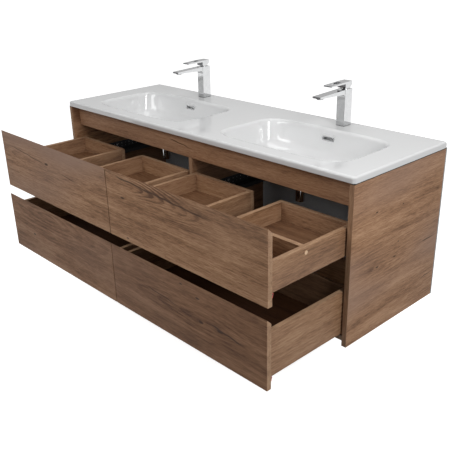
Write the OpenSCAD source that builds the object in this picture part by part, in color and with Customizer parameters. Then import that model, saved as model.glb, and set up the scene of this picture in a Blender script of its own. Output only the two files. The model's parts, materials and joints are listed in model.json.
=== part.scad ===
// Wall-hung double vanity: laminate cabinet with four drawers on undermount slides,
// a one-piece top with two basins, two single-lever mixers and two push-open drains.
// Millimetres. X runs along the wall, Y points at the wall, Z is up. The origin is on
// the wall plane, at the middle of the four wall-fixing holes in the hanging rail.
// Inside the modules Y counts from the side panels' front edges and Z from their feet.

/* [Cabinet] */
// Outer width over the side panels
cab_w = 1497; // [1300:1:1600]
// Depth of the side panels
cab_d = 487; // [470:1:520]
// Height of the side panels
cab_h = 533; // [530:1:545]
// Thickness of the carcass boards
panel_t = 17; // [15:1:18]
// Thickness of the back board behind the panels
back_t = 6; // [4:1:8]
// Height of the top, middle and hanging rails
rail_h = 85; // [82:1:88]
// Setback of the front rails, which leaves room for fingers
rail_setback = 35; // [30:1:40]

/* [Top] */
// Overall width of the top
top_w = 1500; // [1498:1:1610]
// Thickness of the top's edge
top_t = 21; // [18:1:25]
// Overhang of the top at the front
top_overhang = 2.5; // [1:0.5:5]
// Width of a basin at the rim
basin_w = 540; // [440:5:550]
// Front-to-back size of a basin at the rim
basin_l = 304; // [270:2:304]
// Depth of a basin under the top surface
basin_depth = 115; // [100:1:120]
// Distance from the panels' front edge to a basin's rear rim
basin_rear = 366; // [364:1:370]

/* [Drawers] */
// Thickness of the drawer fronts
front_t = 17; // [15:1:19]
// Height of every drawer front
front_h = 230; // [225:1:232]
// Height of the upper fronts' lower edge
upper_front_z = 266; // [264:1:270]
// Height of the lower fronts' lower edge
lower_front_z = 1; // [0:1:3]
// Gap between neighbouring fronts
front_gap = 3; // [2:0.5:4]
// Board thickness of the drawer boxes
box_t = 16; // [12:1:16]
// Outer width of the drawer boxes
box_w = 710; // [706:1:712]
// Length of the drawer boxes behind the front
box_l = 360; // [340:1:365]
// Side height of the upper boxes
upper_box_h = 90; // [80:1:100]
// Side height of the lower boxes
lower_box_h = 148; // [120:1:149]
// Depth of the tray in front of the divider
tray_l = 130; // [110:1:150]
// Width of the plumbing cut-out in the upper boxes
cut_w = 123; // [100:1:140]
// How far the upper drawers stand open
upper_open = 329; // [0:1:350]
// How far the lower drawers stand open
lower_open = 332; // [0:1:350]

/* [Taps] */
// Width of a mixer's column
column_w = 35; // [32:1:38]
// Front-to-back size of a mixer's column
column_l = 40; // [38:1:44]
// Height of the column's top over the basin top
column_h = 129; // [120:1:140]
// Reach of the spout in front of the column
spout_reach = 134; // [120:1:140]
// Length of the lever plate in front of the column
lever_reach = 77; // [70:1:90]

/* [Hidden] */
left = -1;
right = 1;
$fn = 48;

// Colours
wood = [0.47, 0.33, 0.25];
box_wood = [0.52, 0.38, 0.27];
board_grey = [0.22, 0.23, 0.24];
glaze = [0.93, 0.94, 0.94];
chrome = [0.80, 0.81, 0.83];
slide_black = [0.08, 0.08, 0.09];
zinc = [0.70, 0.71, 0.72];
rubber = [0.07, 0.07, 0.07];
release_red = [0.78, 0.16, 0.10];
cap_beige = [0.80, 0.70, 0.56];

// Carcass
panel_in = cab_w / 2 - panel_t;            // inner face of a side panel
part_x = panel_t / 2;                      // face of the centre partition
bay_x = (panel_in + part_x) / 2;           // middle of a drawer bay
rail_z = cab_h - rail_h;                   // underside of the top and hanging rails
middle_rail_z = 190;                       // underside of the middle rail
bottom_setback = 24;                       // bottom panel behind the panel edges
wall_y = cab_d + back_t;                   // wall plane
part_rear = 406;                           // rear edge of the partition's service notch
fix_z = rail_z + rail_h / 2;               // height of the origin over the panels' feet
fix_dx = 1200;                             // spacing of the wall-fixing holes along X
fix_dz = 45;                               // spacing of the wall-fixing holes along Z
fix_r = 4.25;
service_w = 300;                           // plumbing opening in the back board
service_h = 150;
service_z = 290;
service_r = 15;

// Top and basins
top_z = cab_h + top_t;                     // top surface
basin_y = basin_rear - basin_l / 2;        // middle of a basin
basin_wall = 9;
top_corner_r = 12;
drain_hole_r = 23;
rim_steps = 56;                            // points round a basin
lip_over = 8;                              // cavity stack starts this far over the top
overflow_depth = 34;
overflow_w = 52;
overflow_h = 15;
overflow_slot_w = 42;
overflow_slot_h = 7;
channel_w = 64;                            // overflow channel behind the basin
channel_l = 18;
channel_h = 60;

// Basin sections from the rim down: inset from the rim, depth, squareness.
// Past the last wall section they shrink to the round drain seat.
wall_sections = [
    [-10, -lip_over, 5.6], [-10, 0, 5.6], [-5, 1, 5.6], [-1, 3.2, 5.5], [2, 7.5, 5.4], [5, 22, 5.2],
    [14, 66, 4.8], [22, 84, 4.4], [38, 99, 4], [62, 108, 3.4],
];
floor_sections = [[110, 48, 111.5, 2.6], [34, 34, 114.6, 2], [34, 34, basin_depth, 2]];

// Slope of the basin walls between their two straight sections, and where it puts the overflow
wall_top = wall_sections[5];
wall_foot = wall_sections[6];
wall_slope = (wall_foot[0] - wall_top[0]) / (wall_foot[1] - wall_top[1]);
overflow_y = basin_rear - wall_top[0] - (overflow_depth - wall_top[1]) * wall_slope;

// Drain
flange_r = 32;
flange_t = 3;
drain_r = 22;
drain_bore_r = 18;
tail_r = 16;
tail_bore_r = 14;
tail_z = 329;                              // lower end of the tailpiece
drain_low_z = 376;                         // where the body narrows to the tailpiece
bowl_floor_z = top_z - basin_depth;
plug_lift = 8;                             // travel of the push-open plug
plug_r = 30;
plug_t = 4;
stem_r = 5;
guide_z = 402;                             // guide bar of the plug's stem
guide_w = 8;
guide_t = 6;
stem_drop = 14;                            // stem under the guide bar's lower face
drain_nut_r = 31;
drain_nut_h = 12;

// Drawers
slide_drop = 19;                           // slide foot under the box sides
bottom_lift = 13;                          // box floor board over the sides' lower edge
upper_box_z = upper_front_z + 38;
lower_box_z = lower_front_z + 38;
front_in = panel_in - 2.5;                 // outer end of a front
divider_y = front_t + tray_l;
box_end = front_t + box_l;                 // rear face of a closed box
box_out = bay_x + box_w / 2;               // outer face of the outboard side
box_in = bay_x - box_w / 2;                // outer face of the inboard side
slide_zs = [upper_box_z - slide_drop, lower_box_z - slide_drop];  // feet of the slides
cap_r = 6;                                 // screw caps at the divider's ends
cap_t = 1;
cap_drop = 17;                             // cap centre under the sides' upper edge

// Slides: S runs from the panel face into the bay, H from the slide's foot up
flange_h = 49;
steel_t = 1.5;
channel_s = 24;                            // near wall of the fixed channel
channel_span = 17;
channel_top = 16;
middle_s = 26.2;
middle_w = 12.6;
middle_foot = 3;
middle_top = 28;
runner_s = 22.8;
runner_w = 19.4;
runner_foot = 17.5;
runner_top = slide_drop + bottom_lift;
rail_start = 37;
rail_len = 363;
middle_start = 40;
middle_len = 340;
runner_start = 18.5;
runner_len = 355;
slide_hole_r = 2.5;
screw_y = [70, 210, 350];                  // slide screws, from the panels' front edges
screw_h = 36;                              // height of the screw row over the slide's foot
release_y = 24;                            // pivot of the release levers
release_h = 12.5;
pin_r = 2;
pin_play = 0.06;

// Taps
tap_y = 440;
tap_hole_r = 17.5;
gasket_t = 1.5;
gasket_inset = 1;                          // gasket smaller than the column by this
gasket_bore_r = 15.5;
tap_foot = top_z + gasket_t;
column_top = top_z + column_h;
column_y = tap_y - column_l / 2;           // front face of the column
spout_w = 34;
spout_tip_y = column_y - spout_reach;
spout_tip_top = column_top - 5.5;
spout_tip_t = 6;
spout_root_t = 16;
root_fillet = 12;
aerator_y = spout_tip_y + 20;
aerator_r = 11;
aerator_boss_h = 6;
cartridge_r = 15;
cartridge_play = 0.08;
socket_l = 24;
stem_w = 10;                               // cartridge stem that the lever sits on
stem_l = 12;
stem_h = 11;
stem_room_w = 11.2;
lift_pin_l = 12;
window_w = 18;                             // window in the lever plate
window_l = 38;
window_front = 26;                         // plate in front of the window
pivot_z = column_top + 6.5;                // lever's lift axis
handle_foot = column_top + 5;
handle_top = column_top + 26.5;
handle_rear = tap_y + 17;
lever_t = 4.5;
lever_tip_y = column_y - lever_reach;
lever_tip_top = handle_top - 3.5;
stud_r = 4;
stud_y = tap_y - 10;
stud_drop = 32;                            // length of the stud under the slab
clamp_r = 24;                              // horseshoe plate that clamps the tap
clamp_t = 3;
clamp_gap = 30;
stud_nut_r = 8;
stud_nut_h = 7;
inlet_r = 5;
inlet_dx = 9;
inlet_l = 12;

// ---------- helpers ----------

// From the panel-edge frame to the frame of the wall fixings
module placed() {
    translate([0, -wall_y, -fix_z]) children();
}

// Mirrored to the left for side = left
module on_side(side) {
    if (side < 0) mirror([1, 0, 0]) children();
    else children();
}

module both_sides() {
    for (side = [left, right]) on_side(side) children();
}

// An XZ outline made len long along +Y
module along_y(len) {
    translate([0, len, 0]) rotate([90, 0, 0]) linear_extrude(len) children();
}

// A YZ outline made len long along +X, centred
module along_x(len) {
    translate([-len / 2, 0, 0]) rotate([90, 0, 90]) linear_extrude(len) children();
}

module y_cylinder(r, len) {
    rotate([-90, 0, 0]) cylinder(r = r, h = len);
}

module x_cylinder(r, len) {
    rotate([0, 90, 0]) cylinder(r = r, h = len);
}

module round_rect(w, l, r) {
    square([w - 2 * r, l], center = true);
    square([w, l - 2 * r], center = true);
    for (x = [-1, 1], y = [-1, 1])
        translate([x * (w / 2 - r), y * (l / 2 - r)]) circle(r);
}

// ---------- carcass ----------

// Pilot holes of the slide screws in a board whose face is at x, drilled towards +X
module slide_pilots(x, depth) {
    for (z = slide_zs, y = screw_y)
        translate([x, y, z + screw_h]) x_cylinder(slide_hole_r, depth);
}

module side_panel(side) {
    color(wood) placed() on_side(side) difference() {
        translate([panel_in, 0, 0]) cube([panel_t, cab_d, cab_h]);
        slide_pilots(panel_in - 1, 11);
    }
}

module centre_partition() {
    part_top = cab_h - panel_t;
    color(wood) placed() difference() {
        translate([-part_x, rail_setback, panel_t])
            cube([panel_t, cab_d - panel_t - rail_setback, part_top]);
        translate([-part_x - 1, part_rear, 0])
            cube([panel_t + 2, cab_d, rail_z]);
        for (z = [rail_z, middle_rail_z])
            translate([-part_x - 1, 0, z]) cube([panel_t + 2, rail_setback + panel_t, rail_h]);
        slide_pilots(-part_x - 1, panel_t + 2);
    }
}

module bottom_panel() {
    color(wood) placed()
        translate([-panel_in, bottom_setback, 0])
            cube([2 * panel_in, cab_d - bottom_setback, panel_t]);
}

module cross_rail(y, z) {
    translate([-panel_in, y, z]) cube([2 * panel_in, panel_t, rail_h]);
}

module top_front_rail() {
    color(wood) placed() cross_rail(rail_setback, rail_z);
}

module middle_front_rail() {
    color(wood) placed() cross_rail(rail_setback, middle_rail_z);
}

module wall_holes() {
    for (x = [-1, 1], z = [-1, 1])
        translate([x * fix_dx / 2, cab_d - panel_t - 1, fix_z + z * fix_dz / 2])
            y_cylinder(fix_r, panel_t + back_t + 2);
}

module hanging_rail() {
    color(wood) placed() difference() {
        cross_rail(cab_d - panel_t, rail_z);
        wall_holes();
    }
}

module back_board() {
    color(board_grey) placed() difference() {
        translate([-cab_w / 2, cab_d, 0]) cube([cab_w, back_t, cab_h]);
        wall_holes();
        both_sides() translate([bay_x, cab_d - 1, service_z + service_h / 2])
            along_y(back_t + 2) round_rect(service_w, service_h, service_r);
    }
}

// ---------- basin top ----------

// One point of a superellipse
function ring_point(a, b, n, angle) =
    let (c = cos(angle), s = sin(angle))
    [a * sign(c) * pow(abs(c), 2 / n), b * sign(s) * pow(abs(s), 2 / n)];

function ring(a, b, n, z) = [
    for (i = [0 : rim_steps - 1])
        let (p = ring_point(a, b, n, (i + 0.5) * 360 / rim_steps)) [p[0], p[1], z]
];

// All sections of a basin as [half width, half length, depth, squareness], grown by wall
function basin_sections(wall) = concat(
    [for (s = wall_sections)
        [basin_w / 2 - s[0] + wall, basin_l / 2 - s[0] + wall, s[1] + wall, s[2]]],
    [for (s = floor_sections) [s[0] + wall, s[1] + wall, s[2] + wall, s[3]]]
);

// Closed solid through the sections
module basin_stack(sections) {
    count = len(sections);
    points = [for (s = sections) each ring(s[0], s[1], s[3], top_z - s[2])];
    walls = [
        for (j = [0 : count - 2], i = [0 : rim_steps - 1])
            let (k = (i + 1) % rim_steps)
            [j * rim_steps + i, j * rim_steps + k, (j + 1) * rim_steps + k, (j + 1) * rim_steps + i]
    ];
    lid = [[for (i = [0 : rim_steps - 1]) rim_steps - 1 - i]];
    foot = [[for (i = [0 : rim_steps - 1]) (count - 1) * rim_steps + i]];
    polyhedron(points = points, faces = concat(lid, walls, foot));
}

// The outer bowl starts inside the slab, so it uses the wall sections from there down
outer_sections = [for (s = basin_sections(basin_wall)) if (s[2] > 12) s];

// Both overflows' places, square to the basins' sloping rear walls
module at_overflows() {
    both_sides() translate([bay_x, overflow_y, top_z - overflow_depth])
        rotate([-atan(wall_slope), 0, 0]) children();
}

module basin_top() {
    color(glaze) placed() difference() {
        union() {
            translate([0, (wall_y - top_overhang) / 2, cab_h])
                linear_extrude(top_t) round_rect(top_w, wall_y + top_overhang, top_corner_r);
            both_sides() {
                translate([bay_x, basin_y, 0]) basin_stack(outer_sections);
                translate([bay_x - channel_w / 2, basin_rear - 8, cab_h - channel_h])
                    cube([channel_w, channel_l, channel_h + 2]);
            }
        }
        both_sides() {
            translate([bay_x, basin_y, 0]) basin_stack(basin_sections(0));
            translate([bay_x, basin_y, bowl_floor_z - 20]) cylinder(r = drain_hole_r, h = 30);
            translate([bay_x, tap_y, cab_h - 1]) cylinder(r = tap_hole_r, h = top_t + 2);
        }
        at_overflows() translate([0, -2, 0])
            along_y(14) square([overflow_slot_w + 4, overflow_slot_h + 4], center = true);
    }
}

// Flanged sleeves in the overflow slots
module overflow_trims() {
    color(chrome) placed() at_overflows() difference() {
        union() {
            translate([0, -2, 0]) along_y(2) round_rect(overflow_w, overflow_h, 3);
            along_y(9) square([overflow_slot_w + 3, overflow_slot_h + 3], center = true);
        }
        translate([0, -3, 0]) along_y(14) square([overflow_slot_w, overflow_slot_h], center = true);
    }
}

// ---------- drains ----------

module drain_bodies() {
    color(chrome) placed() both_sides() translate([bay_x, basin_y, 0]) {
        rotate_extrude() polygon([
            [drain_bore_r, bowl_floor_z + flange_t], [flange_r, bowl_floor_z + flange_t],
            [flange_r, bowl_floor_z], [drain_r, bowl_floor_z], [drain_r, drain_low_z],
            [tail_r, drain_low_z - 4], [tail_r, tail_z], [tail_bore_r, tail_z],
            [tail_bore_r, drain_low_z - 2], [drain_bore_r, drain_low_z + 2],
        ]);
        difference() {
            translate([-drain_bore_r - 1, -guide_w / 2, guide_z])
                cube([2 * drain_bore_r + 2, guide_w, guide_t]);
            translate([0, 0, guide_z - 1]) cylinder(r = stem_r + pin_play, h = guide_t + 2);
        }
    }
}

module drain_nuts() {
    nut_top = bowl_floor_z - basin_wall;
    color(chrome) placed() both_sides() translate([bay_x, basin_y, nut_top - drain_nut_h]) difference() {
        cylinder(r = drain_nut_r, h = drain_nut_h, $fn = 6);
        translate([0, 0, -1]) cylinder(r = drain_r, h = drain_nut_h + 2);
    }
}

// Domed cap on a stem that slides in the drain's guide bar
module drain_plug(side) {
    foot = bowl_floor_z + flange_t + plug_lift + 0.4;
    color(chrome) placed() on_side(side) translate([bay_x, basin_y, 0]) rotate_extrude()
        polygon([
            [0, guide_z - stem_drop], [stem_r, guide_z - stem_drop], [stem_r, foot], [plug_r, foot],
            [plug_r, foot + 1.5], [plug_r * 0.75, foot + plug_t * 0.8], [0, foot + plug_t],
        ]);
}

// ---------- taps ----------

// Side view of column and spout, Y to the right and Z up
module tap_outline() {
    spout_under = column_top - spout_root_t;
    difference() {
        polygon([
            [column_y + column_l, tap_foot], [column_y + column_l, column_top],
            [column_y, column_top], [spout_tip_y, spout_tip_top],
            [spout_tip_y, spout_tip_top - spout_tip_t],
            [column_y - root_fillet, spout_under + 0.6],
            [column_y, spout_under - root_fillet], [column_y, tap_foot],
        ]);
        translate([column_y - root_fillet, spout_under - root_fillet]) circle(root_fillet);
    }
}

module tap_body(side) {
    boss_top = spout_tip_top - 2;
    color(chrome) placed() on_side(side) translate([bay_x, 0, 0]) difference() {
        union() {
            along_x(spout_w) tap_outline();
            translate([-column_w / 2, column_y, tap_foot])
                cube([column_w, column_l, column_top - tap_foot]);
            translate([0, aerator_y, boss_top - aerator_boss_h - 2])
                cylinder(r = aerator_r + 3, h = aerator_boss_h);
            translate([0, stud_y, cab_h - stud_drop])
                cylinder(r = stud_r, h = stud_drop + top_t + 8);
        }
        translate([0, tap_y, column_top - socket_l])
            cylinder(r = cartridge_r + cartridge_play, h = socket_l + 1);
        translate([0, aerator_y, boss_top - aerator_boss_h - 3])
            cylinder(r = aerator_r, h = aerator_boss_h);
        for (x = [-1, 1])
            translate([x * inlet_dx, tap_y + 5, tap_foot - 1]) cylinder(r = inlet_r, h = inlet_l + 1);
    }
}

module tap_aerators() {
    color(chrome) placed() both_sides()
        translate([bay_x, aerator_y, spout_tip_top - 12]) difference() {
            cylinder(r = aerator_r, h = 7);
            translate([0, 0, -1]) cylinder(r = aerator_r - 2, h = 5);
        }
}

module tap_gaskets() {
    color(rubber) placed() both_sides() translate([bay_x, tap_y, top_z]) difference() {
        linear_extrude(gasket_t)
            square([column_w - gasket_inset, column_l - gasket_inset], center = true);
        translate([0, 0, -1]) cylinder(r = gasket_bore_r, h = gasket_t + 2);
    }
}

// Horseshoe plate and nut that clamp a tap from below
module tap_fixings() {
    color(zinc) placed() both_sides() translate([bay_x, 0, cab_h]) {
        translate([0, tap_y, -clamp_t]) difference() {
            cylinder(r = clamp_r, h = clamp_t);
            translate([-clamp_gap / 2, -2, -1]) cube([clamp_gap, clamp_r + 6, clamp_t + 2]);
            translate([0, stud_y - tap_y, -1]) cylinder(r = stud_r + 0.1, h = clamp_t + 2);
        }
        translate([0, stud_y, -clamp_t - stud_nut_h]) difference() {
            cylinder(r = stud_nut_r, h = stud_nut_h, $fn = 6);
            translate([0, 0, -1]) cylinder(r = stud_r, h = stud_nut_h + 2);
        }
    }
}

// Turns in the column with the lever, and carries the lever's lift pin
module tap_cartridge(side) {
    color(chrome) placed() on_side(side) translate([bay_x, tap_y, 0]) difference() {
        union() {
            translate([0, 0, column_top - socket_l + 0.3])
                cylinder(r = cartridge_r, h = socket_l + 1.2);
            translate([-stem_w / 2, -stem_l / 2, column_top]) cube([stem_w, stem_l, stem_h]);
        }
        translate([-lift_pin_l / 2, 0, pivot_z]) x_cylinder(pin_r + pin_play, lift_pin_l);
    }
}

// Side view of the lever with its block, Y to the right and Z up
module handle_outline() {
    polygon([
        [column_y, handle_foot], [tap_y + 6, handle_foot], [handle_rear, handle_foot + 9.5],
        [handle_rear, handle_top], [column_y, handle_top], [lever_tip_y, lever_tip_top],
        [lever_tip_y, lever_tip_top - lever_t], [column_y, handle_top - lever_t - 3],
    ]);
}

module tap_handle(side) {
    color(chrome) placed() on_side(side) translate([bay_x, 0, 0]) {
        difference() {
            along_x(column_w) handle_outline();
            // room for the cartridge's stem at every tilt
            translate([-stem_room_w / 2, tap_y - stem_l, handle_foot - 1])
                cube([stem_room_w, 2 * stem_l, stem_h + 3]);
            translate([-window_w / 2, lever_tip_y + window_front, handle_foot])
                cube([window_w, window_l, handle_top - handle_foot + 1]);
        }
        translate([-lift_pin_l / 2, tap_y, pivot_z]) x_cylinder(pin_r, lift_pin_l);
    }
}

// ---------- slides ----------

// Both slides of the right-hand bay, with S pointing into the bay
module bay_pair(foot_z) {
    translate([part_x, 0, foot_z]) children();
    translate([panel_in, 0, foot_z]) mirror([1, 0, 0]) children();
}

// Screwed flange, foot web and the channel that guides the middle member
module cabinet_rail() {
    difference() {
        translate([0, rail_start, 0]) along_y(rail_len) union() {
            square([steel_t, flange_h]);
            square([channel_s + channel_span, steel_t]);
            translate([channel_s, 0]) square([steel_t, channel_top]);
            translate([channel_s + channel_span - steel_t, 0]) square([steel_t, channel_top]);
        }
        for (y = screw_y) translate([-1, y, screw_h]) x_cylinder(slide_hole_r, 4);
    }
}

module cabinet_rails(foot_z) {
    color(slide_black) placed() both_sides() bay_pair(foot_z) cabinet_rail();
}

// Flat-headed screws through the rail flanges into the boards
module rail_screws() {
    shank = 8;
    color(zinc) placed() both_sides() for (z = slide_zs) bay_pair(z)
        for (y = screw_y) translate([0, y, screw_h]) {
            translate([-shank, 0, 0]) x_cylinder(slide_hole_r, shank + steel_t + 0.5);
            translate([steel_t, 0, 0]) x_cylinder(4, 1.4);
        }
}

// Middle members, half as far out as their drawer
module middle_slides(side, foot_z, open) {
    color(slide_black) placed() on_side(side) translate([0, middle_start - open / 2, 0])
        bay_pair(foot_z) translate([middle_s, 0, middle_foot]) along_y(middle_len) difference() {
            square([middle_w, middle_top - middle_foot]);
            translate([steel_t, -1])
                square([middle_w - 2 * steel_t, middle_top - middle_foot - steel_t + 1]);
        }
}

// Drawer members under the box floor, with the pins of the release levers
module runners(side, foot_z, open) {
    color(slide_black) placed() on_side(side) translate([0, -open, 0]) bay_pair(foot_z) {
        translate([runner_s, runner_start, 0]) along_y(runner_len) difference() {
            translate([0, runner_foot]) square([runner_w, runner_top - runner_foot]);
            translate([steel_t, runner_foot - 1])
                square([runner_w - 2 * steel_t, runner_top - runner_foot - steel_t + 1]);
        }
        translate([runner_s, runner_start, release_h - 4])
            cube([steel_t, 12, runner_foot - release_h + 5]);
        translate([8, release_y, release_h]) x_cylinder(pin_r, runner_s - 8 + 0.5);
    }
}

// Pair of finger levers behind the front, hinged on the runners' pins
module releases(side, foot_z, open) {
    lever_w = 13;
    color(release_red) placed() on_side(side) translate([0, -open, 0]) bay_pair(foot_z)
        translate([8.5, release_y, release_h]) difference() {
            union() {
                x_cylinder(4, lever_w);
                translate([0, -1.5, -11]) cube([lever_w, 3, 11]);
            }
            translate([-1, 0, 0]) x_cylinder(pin_r + pin_play, lever_w + 2);
        }
}

// ---------- drawer boxes ----------

// A piece of the right-hand drawer, shut, put on its side and pulled open
module drawer_piece(side, open) {
    placed() on_side(side) translate([0, -open, 0]) children();
}

// Front board whose top edge slopes down to the rear
module front_board(side, z, open) {
    color(wood) drawer_piece(side, open) translate([(front_gap / 2 + front_in) / 2, 0, z])
        along_x(front_in - front_gap / 2) polygon([
            [0, 0], [front_t, 0], [front_t, front_h - front_t], [0, front_h],
        ]);
}

module box_sides(side, z, height, open) {
    color(box_wood) drawer_piece(side, open) for (x = [box_in, box_out - box_t])
        translate([x, front_t, z]) cube([box_t, box_l, height]);
}

module lower_back(side) {
    color(box_wood) drawer_piece(side, lower_open)
        translate([box_in + box_t, box_end - box_t, lower_box_z + bottom_lift])
            cube([box_w - 2 * box_t, box_t, lower_box_h - bottom_lift]);
}

module lower_bottom(side) {
    color(box_wood) drawer_piece(side, lower_open)
        translate([box_in + box_t, front_t, lower_box_z + bottom_lift])
            cube([box_w - 2 * box_t, box_l - box_t, box_t]);
}

// Rear boards on both sides of the plumbing cut-out, clear of the runners under the floor
module upper_back(side) {
    length = (box_w - cut_w) / 2 - box_t;
    color(box_wood) drawer_piece(side, upper_open)
        for (x = [box_in + box_t, bay_x + cut_w / 2])
            translate([x, box_end - box_t, upper_box_z + bottom_lift])
                cube([length, box_t, upper_box_h - bottom_lift]);
}

module upper_well_walls(side) {
    color(box_wood) drawer_piece(side, upper_open)
        for (x = [bay_x - cut_w / 2 - box_t, bay_x + cut_w / 2])
            translate([x, divider_y + box_t, upper_box_z])
                cube([box_t, box_end - divider_y - 2 * box_t, upper_box_h]);
}

module upper_divider(side) {
    color(box_wood) drawer_piece(side, upper_open)
        translate([box_in + box_t, divider_y, upper_box_z + bottom_lift])
            cube([box_w - 2 * box_t, box_t, upper_box_h - bottom_lift]);
}

// Floor boards: one in the front tray and one in each rear compartment
module upper_bottom(side) {
    floor_z = upper_box_z + bottom_lift;
    rear_w = (box_w - cut_w) / 2 - 2 * box_t;
    rear_y = divider_y + box_t;
    color(box_wood) drawer_piece(side, upper_open) {
        translate([box_in + box_t, front_t, floor_z])
            cube([box_w - 2 * box_t, tray_l, box_t]);
        for (x = [box_in + box_t, bay_x + cut_w / 2 + box_t])
            translate([x, rear_y, floor_z]) cube([rear_w, box_end - box_t - rear_y, box_t]);
    }
}

// Screw caps on the sides, at the divider's ends
module upper_caps(side) {
    cap_z = upper_box_z + upper_box_h - cap_drop;
    color(cap_beige) drawer_piece(side, upper_open) {
        translate([box_out, divider_y + box_t / 2, cap_z]) x_cylinder(cap_r, cap_t);
        translate([box_in - cap_t, divider_y + box_t / 2, cap_z]) x_cylinder(cap_r, cap_t);
    }
}

side_panel(left);  // side_panel_left
side_panel(right);  // side_panel_right
centre_partition();
bottom_panel();
top_front_rail();
middle_front_rail();
hanging_rail();
back_board();
basin_top();
overflow_trims();
drain_bodies();
drain_nuts();
tap_body(left);  // tap_body_left
tap_body(right);  // tap_body_right
tap_aerators();
tap_gaskets();
tap_fixings();
cabinet_rails(slide_zs[0]);  // cabinet_rails_upper
cabinet_rails(slide_zs[1]);  // cabinet_rails_lower
rail_screws();
tap_cartridge(left);  // tap_cartridge_left
tap_cartridge(right);  // tap_cartridge_right
tap_handle(left);  // tap_handle_left
tap_handle(right);  // tap_handle_right
drain_plug(left);  // drain_plug_left
drain_plug(right);  // drain_plug_right
middle_slides(left, slide_zs[0], upper_open);  // upper_left_slides
middle_slides(right, slide_zs[0], upper_open);  // upper_right_slides
middle_slides(left, slide_zs[1], lower_open);  // lower_left_slides
middle_slides(right, slide_zs[1], lower_open);  // lower_right_slides
front_board(left, upper_front_z, upper_open);  // upper_left_front
box_sides(left, upper_box_z, upper_box_h, upper_open);  // upper_left_sides
upper_back(left);  // upper_left_back
upper_well_walls(left);  // upper_left_well_walls
upper_divider(left);  // upper_left_divider
upper_bottom(left);  // upper_left_bottom
runners(left, slide_zs[0], upper_open);  // upper_left_runners
releases(left, slide_zs[0], upper_open);  // upper_left_releases
upper_caps(left);  // upper_left_caps
front_board(right, upper_front_z, upper_open);  // upper_right_front
box_sides(right, upper_box_z, upper_box_h, upper_open);  // upper_right_sides
upper_back(right);  // upper_right_back
upper_well_walls(right);  // upper_right_well_walls
upper_divider(right);  // upper_right_divider
upper_bottom(right);  // upper_right_bottom
runners(right, slide_zs[0], upper_open);  // upper_right_runners
releases(right, slide_zs[0], upper_open);  // upper_right_releases
upper_caps(right);  // upper_right_caps
front_board(left, lower_front_z, lower_open);  // lower_left_front
box_sides(left, lower_box_z, lower_box_h, lower_open);  // lower_left_sides
lower_back(left);  // lower_left_back
lower_bottom(left);  // lower_left_bottom
runners(left, slide_zs[1], lower_open);  // lower_left_runners
releases(left, slide_zs[1], lower_open);  // lower_left_releases
front_board(right, lower_front_z, lower_open);  // lower_right_front
box_sides(right, lower_box_z, lower_box_h, lower_open);  // lower_right_sides
lower_back(right);  // lower_right_back
lower_bottom(right);  // lower_right_bottom
runners(right, slide_zs[1], lower_open);  // lower_right_runners
releases(right, slide_zs[1], lower_open);  // lower_right_releases
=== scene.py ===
"""Wall-hung double vanity, drawers open: fine meshes, materials, studio and camera around the CAD frame."""
import json
from math import cos, exp, pi, radians, sin

import bmesh
import bpy
from mathutils import Matrix, Vector

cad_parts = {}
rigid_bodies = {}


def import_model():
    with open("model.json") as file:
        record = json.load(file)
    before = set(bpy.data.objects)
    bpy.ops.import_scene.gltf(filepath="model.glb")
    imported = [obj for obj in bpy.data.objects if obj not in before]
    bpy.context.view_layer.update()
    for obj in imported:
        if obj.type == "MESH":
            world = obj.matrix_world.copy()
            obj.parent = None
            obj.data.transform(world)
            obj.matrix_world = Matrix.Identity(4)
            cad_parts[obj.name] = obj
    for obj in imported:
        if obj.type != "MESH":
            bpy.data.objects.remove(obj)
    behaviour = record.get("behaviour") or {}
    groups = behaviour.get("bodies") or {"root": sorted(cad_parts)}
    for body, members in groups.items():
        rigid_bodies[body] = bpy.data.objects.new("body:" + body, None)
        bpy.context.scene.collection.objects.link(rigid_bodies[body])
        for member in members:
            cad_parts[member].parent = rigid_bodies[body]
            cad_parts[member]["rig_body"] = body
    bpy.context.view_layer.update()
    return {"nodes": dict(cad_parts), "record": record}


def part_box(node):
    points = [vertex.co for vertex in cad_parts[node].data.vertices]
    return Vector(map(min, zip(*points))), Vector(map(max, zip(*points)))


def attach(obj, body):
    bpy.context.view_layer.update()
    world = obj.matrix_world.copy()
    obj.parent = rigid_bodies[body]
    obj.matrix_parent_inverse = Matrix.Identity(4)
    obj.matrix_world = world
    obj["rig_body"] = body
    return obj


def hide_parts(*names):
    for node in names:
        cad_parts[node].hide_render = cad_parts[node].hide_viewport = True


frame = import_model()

MM = 0.001
SIDES = {"left": -1, "right": 1}
LEVELS = ("upper", "lower")
SLOT_OF = {part["node"]: part["material_slot"] for part in frame["record"]["subparts"]}

# ---------- sizes that the fine meshes share with the CAD part, in metres ----------

TOP_EASE = 9 * MM              # rounding of the top's upper edge
TOP_EASE_LOW = 2 * MM          # rounding of its lower edge
TOP_CORNER = 12 * MM           # corner radius in plan
EASE_STEPS = 6
LOW_EASE_STEPS = 3
BASIN_W = 540 * MM
BASIN_L = 304 * MM
BASIN_DEPTH = 115 * MM
BASIN_WALL = 9 * MM
DRAIN_HOLE = 23 * MM
TAP_HOLE = 17.5 * MM
OVERFLOW_DEPTH = 34 * MM
OVERFLOW_INSET = 7.5 * MM      # the wall stands this far inside the rim at that depth
WALL_TILT = 0.202              # lean of the basin's walls there
SLOT = (45.5 * MM, 10.5 * MM)
SLOT_REACH = 17 * MM
CHANNEL = (64 * MM, 18 * MM, 60 * MM)
CHANNEL_LAP = 8 * MM           # the channel's block starts this far inside the basin's rear rim
CHANNEL_SKIN = 5.5 * MM        # from the block's rear face to the middle of its hollow
HOLLOW_L = 5 * MM
SLOT_LAP = 3 * MM              # the slot starts this far in front of the wall
BASIN_POINTS = 144             # points round a basin

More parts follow.
